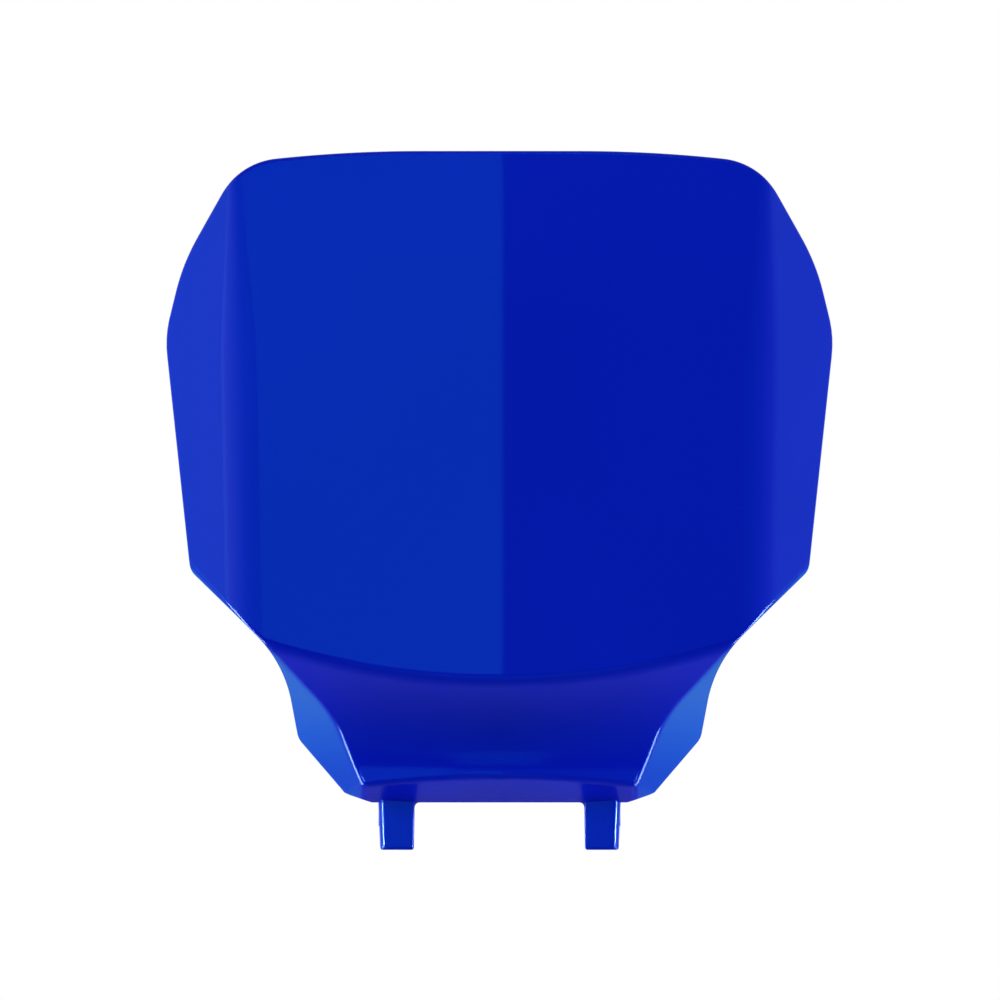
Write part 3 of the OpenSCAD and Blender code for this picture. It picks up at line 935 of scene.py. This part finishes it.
class Term:
    """A number that changes over the surface; reckoning with it adds Math nodes."""

    def __init__(self, bench: Bench, socket: bpy.types.NodeSocket) -> None:
        """Remembers where the number comes from."""
        self.bench = bench
        self.socket = socket

    def _with(self, operation: str, *others: Term | float, clamp: bool = False) -> Term:
        """Adds one Math node.

        Args:
            operation: Blender's name of the operation.
            *others: The terms or numbers that it takes, this one included.
            clamp: Whether the result is kept between 0 and 1.

        Returns:
            The result.
        """
        inputs = {f"i{k}": value for k, value in enumerate(others)}
        made = self.bench.node("ShaderNodeMath", {"operation": operation, "use_clamp": clamp}, **inputs)
        return Term(self.bench, made.outputs[0])

    def __add__(self, other: Term | float) -> Term:
        """Sum."""
        return self._with("ADD", self, other)

    def __radd__(self, other: float) -> Term:
        """Sum with a number first."""
        return self._with("ADD", other, self)

    def __sub__(self, other: Term | float) -> Term:
        """Difference."""
        return self._with("SUBTRACT", self, other)

    def __rsub__(self, other: float) -> Term:
        """Difference from a number."""
        return self._with("SUBTRACT", other, self)

    def __mul__(self, other: Term | float) -> Term:
        """Product."""
        return self._with("MULTIPLY", self, other)

    def __rmul__(self, other: float) -> Term:
        """Product with a number first."""
        return self._with("MULTIPLY", other, self)

    def step(self, low: float, high: float) -> Term:
        """0 below low, 1 above high, and a straight rise between them."""
        return self._with("MULTIPLY", self - low, 1 / (high - low), clamp=True)

    def most(self, other: Term | float) -> Term:
        """The larger of the two."""
        return self._with("MAXIMUM", self, other)

    def size(self) -> Term:
        """Its distance from 0."""
        return self._with("ABSOLUTE", self)

    def root(self) -> Term:
        """Its square root."""
        return self._with("SQRT", self)


@dataclass(frozen=True)
class BluePlastic:
    """Polypropylene coloured all through: polished in front, satin with pin marks behind."""

    colour: tuple[float, float, float] = (0.0013, 0.0078, 0.46)
    deep: tuple[float, float, float] = (0.0011, 0.0066, 0.43)
    gloss: float = 0.13
    satin: float = 0.38
    refraction: float = 1.49
    shine: float = 0.2
    shine_tint: tuple[float, float, float] = (0.02, 0.32, 1.0)
    flow: tuple[float, float, float] = (9.0, 2.0, 0.4)
    swell: tuple[float, float, float] = (22.0, 1.0, 0.3)
    grain: tuple[float, float, float] = (900.0, 3.0, 0.6)
    flow_edge: tuple[float, float] = (0.35, 0.65)
    flow_deep: float = 0.8
    flow_rough: float = 0.05
    grain_rough: float = 0.02
    swell_relief: float = 0.35
    grain_relief: float = 0.004
    satin_relief: float = 0.05
    relief_share: float = 0.25
    relief_depth: float = 0.0004
    pin_r: float = 0.0038
    pin_x: float = 0.058
    pin_rows: tuple[float, ...] = (-0.078, -0.028, 0.030)
    pin_edge: tuple[float, float] = (0.0001, 0.0005)
    pin_deep: float = 0.2
    pin_relief: float = 0.06

    def pin_marks(self, bench: Bench, across: Term, up: Term) -> Term:
        """Faint rings that the mould's ejector pins leave on the back.

        A ring lies where the distance from a pin's centre is close to the pin's radius.

        Args:
            bench: Not used; the nodes go on the bench that across and up carry.
            across: Object x in metres.
            up: Object z in metres.

        Returns:
            1 on a ring and 0 away from it.
        """
        away_x = across.size() - self.pin_x
        ring = None
        for row in self.pin_rows:
            away_z = up - row
            distance = (away_x * away_x + away_z * away_z).root()
            mark = 1 - (distance - self.pin_r).size().step(*self.pin_edge)
            ring = mark if ring is None else ring + mark
        return ring

    @staticmethod
    def noise(bench: Bench, place: bpy.types.NodeSocket, look: tuple[float, float, float]) -> Term:
        """Cloudy noise between 0 and 1, by its fineness, its number of finer layers and their strength."""
        scale, detail, rough = look
        made = bench.node("ShaderNodeTexNoise", Vector=place, Scale=scale, Detail=detail, Roughness=rough)
        return Term(bench, made.outputs["Fac"])

    def material(self) -> bpy.types.Material:
        """Builds a node material on Object coordinates and the piece's back_side attribute."""
        material = bpy.data.materials.new("blue_polypropylene")
        material.use_nodes = True
        bench = Bench(material.node_tree)
        place = bench.node("ShaderNodeTexCoord").outputs["Object"]
        axes = bench.node("ShaderNodeSeparateXYZ", Vector=place)
        across, up = Term(bench, axes.outputs["X"]), Term(bench, axes.outputs["Z"])
        back = Term(bench, bench.node("ShaderNodeAttribute", {"attribute_name": "back_side"}).outputs["Fac"])

        flow, swell, grain = (self.noise(bench, place, look) for look in (self.flow, self.swell, self.grain))
        marks = self.pin_marks(bench, across, up) * back

        tint = bench.node(
            "ShaderNodeMix",
            {"data_type": "RGBA"},
            Factor=flow.step(*self.flow_edge) * self.flow_deep + marks * self.pin_deep,
            A=(*self.colour, 1.0),
            B=(*self.deep, 1.0),
        )
        even = self.gloss + back * (self.satin - self.gloss)
        rough = even + (flow - 0.5) * self.flow_rough + (grain - 0.5) * self.grain_rough
        grained = grain * (self.grain_relief + back * self.satin_relief)
        relief = swell * self.swell_relief + grained - marks * self.pin_relief
        depth = self.relief_depth
        bump = bench.node("ShaderNodeBump", Strength=self.relief_share, Distance=depth, Height=relief)
        shader = bench.node("ShaderNodeBsdfPrincipled", Roughness=rough, Normal=bump.outputs["Normal"])
        bench.tree.links.new(tint.outputs[2], shader.inputs["Base Color"])
        shader.inputs["IOR"].default_value = self.refraction
        shader.inputs["Specular IOR Level"].default_value = self.shine
        shader.inputs["Specular Tint"].default_value = (*self.shine_tint, 1.0)
        bench.node("ShaderNodeOutputMaterial", Surface=shader.outputs[0])
        return material


@dataclass(frozen=True)
class Softbox:
    """One rectangular lamp that looks at the board; places are in metres in the row frame."""

    name: str
    place: tuple[float, float, float]
    width: float
    height: float
    watts: float
    colour: tuple[float, float, float] = WHITE
    aim: tuple[float, float, float] = (0.0, 0.0, -0.04)
    work: Work = Work.BOTH
    spread: float = math.pi

    def pair(self) -> list[Softbox]:
        """The lamp's mirror image on the left, and the lamp itself on the right."""
        twins = []
        for side in Side:
            place, aim = ((side.value * x, y, z) for x, y, z in (self.place, self.aim))
            twins.append(replace(self, name=f"{side.name.lower()}_{self.name}", place=place, aim=aim))
        return twins

    def build(self) -> None:
        """Makes the lamp and turns it towards its aim."""
        data = bpy.data.lights.new(self.name, "AREA")
        data.shape = "RECTANGLE"
        data.size, data.size_y = self.width, self.height
        data.energy, data.color, data.spread = self.watts, self.colour, self.spread
        lamp = put_up(self.name, data)
        lamp.location = self.place
        away = Vector(self.place) - Vector(self.aim)
        lamp.rotation_euler = away.to_track_quat("Z", "Y").to_euler()
        lamp.visible_camera = False
        lamp.visible_diffuse = self.work is not Work.GLOSS
        lamp.visible_glossy = self.work is not Work.MATT


@dataclass
class Studio:
    """Plain pale studio: floor, white background, softboxes and the camera straight in front."""

    picture_px: float = 1000.0
    mm_per_px: float = 0.3545
    centre_px: float = 499.5
    sole_px: float = 802.5
    camera_away: float = 2.0
    ambient: float = 0.03
    floor_r: float = 6.0
    floor_z: float = -1.3
    floor_sides: int = 96
    floor_colour: tuple[float, float, float] = (0.8, 0.8, 0.8)
    floor_rough: float = 0.9
    lamps: tuple[Softbox, ...] = (
        Softbox("left_softbox", (-1.5, -0.35, 0.3), 0.9, 1.2, 15.0, work=Work.MATT),
        Softbox("right_softbox", (1.5, -0.35, 0.3), 0.9, 1.2, 9.0, work=Work.MATT),
        Softbox("camera_softbox", (-0.33, -2.15, 0.1), 0.9, 1.0, 9.0),
        Softbox("right_fill", (1.3, -1.3, 0.3), 0.9, 1.2, 8.0, work=Work.MATT),
        Softbox("top_softbox", (0.0, -1.6, 1.3), 1.2, 0.6, 12.5),
        *Softbox("low_fill", (0.74, 0.3, -0.5), 0.3, 0.3, 6.5, work=Work.MATT).pair(),
        Softbox("under_fill", (0.0, 0.5, -0.85), 0.5, 0.3, 4.5, aim=(0.0, 0.0, -0.14), work=Work.MATT),
        Softbox("left_wing_card", (-1.49, 0.18, 0.0), 0.7, 1.0, 3.9, TEAL, work=Work.GLOSS),
        Softbox("right_wing_card", (1.49, 0.18, 0.0), 0.7, 1.0, 1.9, TEAL, work=Work.GLOSS),
        Softbox("left_fold_card", (-1.23, -0.86, 0.0), 1.9, 1.1, 14.0, work=Work.GLOSS),
        *Softbox(
            "back_card", (0.94, 0.97, -0.62), 1.3, 1.3, 1.4, TEAL, (0.065, 0.0, -0.12), Work.GLOSS, WIDE
        ).pair(),
        Softbox("low_front_card", (0.0, -1.1, -0.78), 1.0, 0.5, 1.9, work=Work.GLOSS),
        *Softbox(
            "crease_strip", (0.73, 0.13, -0.52), 0.2, 0.5, 11.0, MINT, (0.06, 0.0, -0.13), Work.GLOSS
        ).pair(),
        *Softbox(
            "peg_strip", (0.205, -0.085, -0.163), 0.1, 0.026, 0.2, ROSE, (0.04, 0.0, -0.175), Work.GLOSS, SLIM
        ).pair(),
    )

    def world(self) -> None:
        """Dim even light, and a plain white background for the camera, gloss and glass."""
        world = bpy.data.worlds.new("studio")
        world.use_nodes = True
        bpy.context.scene.world = world
        bench = Bench(world.node_tree)
        rays = bench.node("ShaderNodeLightPath")
        camera, gloss, through = (
            Term(bench, rays.outputs[f"Is {kind} Ray"]) for kind in ("Camera", "Glossy", "Transmission")
        )
        dim = bench.node("ShaderNodeBackground", Color=(*WHITE, 1.0), Strength=self.ambient)
        white = bench.node("ShaderNodeBackground", Color=(*WHITE, 1.0), Strength=1.0)
        shown = camera.most(gloss).most(through)
        seen = bench.node("ShaderNodeMixShader", i0=shown, i1=dim.outputs[0], i2=white.outputs[0])
        bench.node("ShaderNodeOutputWorld", Surface=seen.outputs[0])

    def floor(self) -> None:
        """A wide pale disc below the board, which hangs from its screw."""
        angle = np.linspace(0, 2 * np.pi, self.floor_sides + 1)[:-1]
        rim = np.stack([np.cos(angle), np.sin(angle), np.zeros_like(angle)], -1) * self.floor_r
        mesh = bpy.data.meshes.new("floor")
        mesh.from_pydata((rim + np.array([0, 0, self.floor_z])).tolist(), [], [list(range(len(rim)))])
        floor = put_up("floor", mesh)
        material = bpy.data.materials.new("pale_floor")
        material.use_nodes = True
        bench = Bench(material.node_tree)
        grey = (*self.floor_colour, 1.0)
        shader = bench.node("ShaderNodeBsdfPrincipled", Base_Color=grey, Roughness=self.floor_rough)
        bench.node("ShaderNodeOutputMaterial", Surface=shader.outputs[0])
        mesh.materials.append(material)

    def camera(self) -> None:
        """A level camera straight in front, with the photograph's framing and no perspective."""
        data = bpy.data.cameras.new("front_camera")
        data.type = "ORTHO"
        data.ortho_scale = self.picture_px * self.mm_per_px * METRES
        camera = put_up("front_camera", data)
        across = (self.picture_px / 2 - self.centre_px) * self.mm_per_px * METRES
        height = (self.sole_px - self.picture_px / 2) * self.mm_per_px - ORIGIN[2]
        camera.location = (across, -self.camera_away, height * METRES)
        camera.rotation_euler = (math.pi / 2, 0.0, 0.0)
        bpy.context.scene.camera = camera

    def build(self) -> None:
        """Sets the view transform and puts up everything around the board."""
        bpy.context.scene.view_settings.view_transform = "Standard"
        self.world()
        self.floor()
        for lamp in self.lamps:
            lamp.build()
        self.camera()


def main() -> None:
    """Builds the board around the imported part, and the studio around the board."""
    logging.basicConfig(level=logging.INFO, format="%(name)s %(message)s")
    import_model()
    Studio().build()
    shell = BoardShell()
    plastic = BluePlastic().material()
    for part in (shell, PlugPegs(shell), FixingLug(shell)):
        piece = part.build()
        piece.data.materials.append(plastic)
        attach(piece, BODY)
        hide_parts(NODE)
        LOG.info("%s rides on %s in place of %s", piece.name, BODY, NODE)


if __name__ == "__main__":
    main()
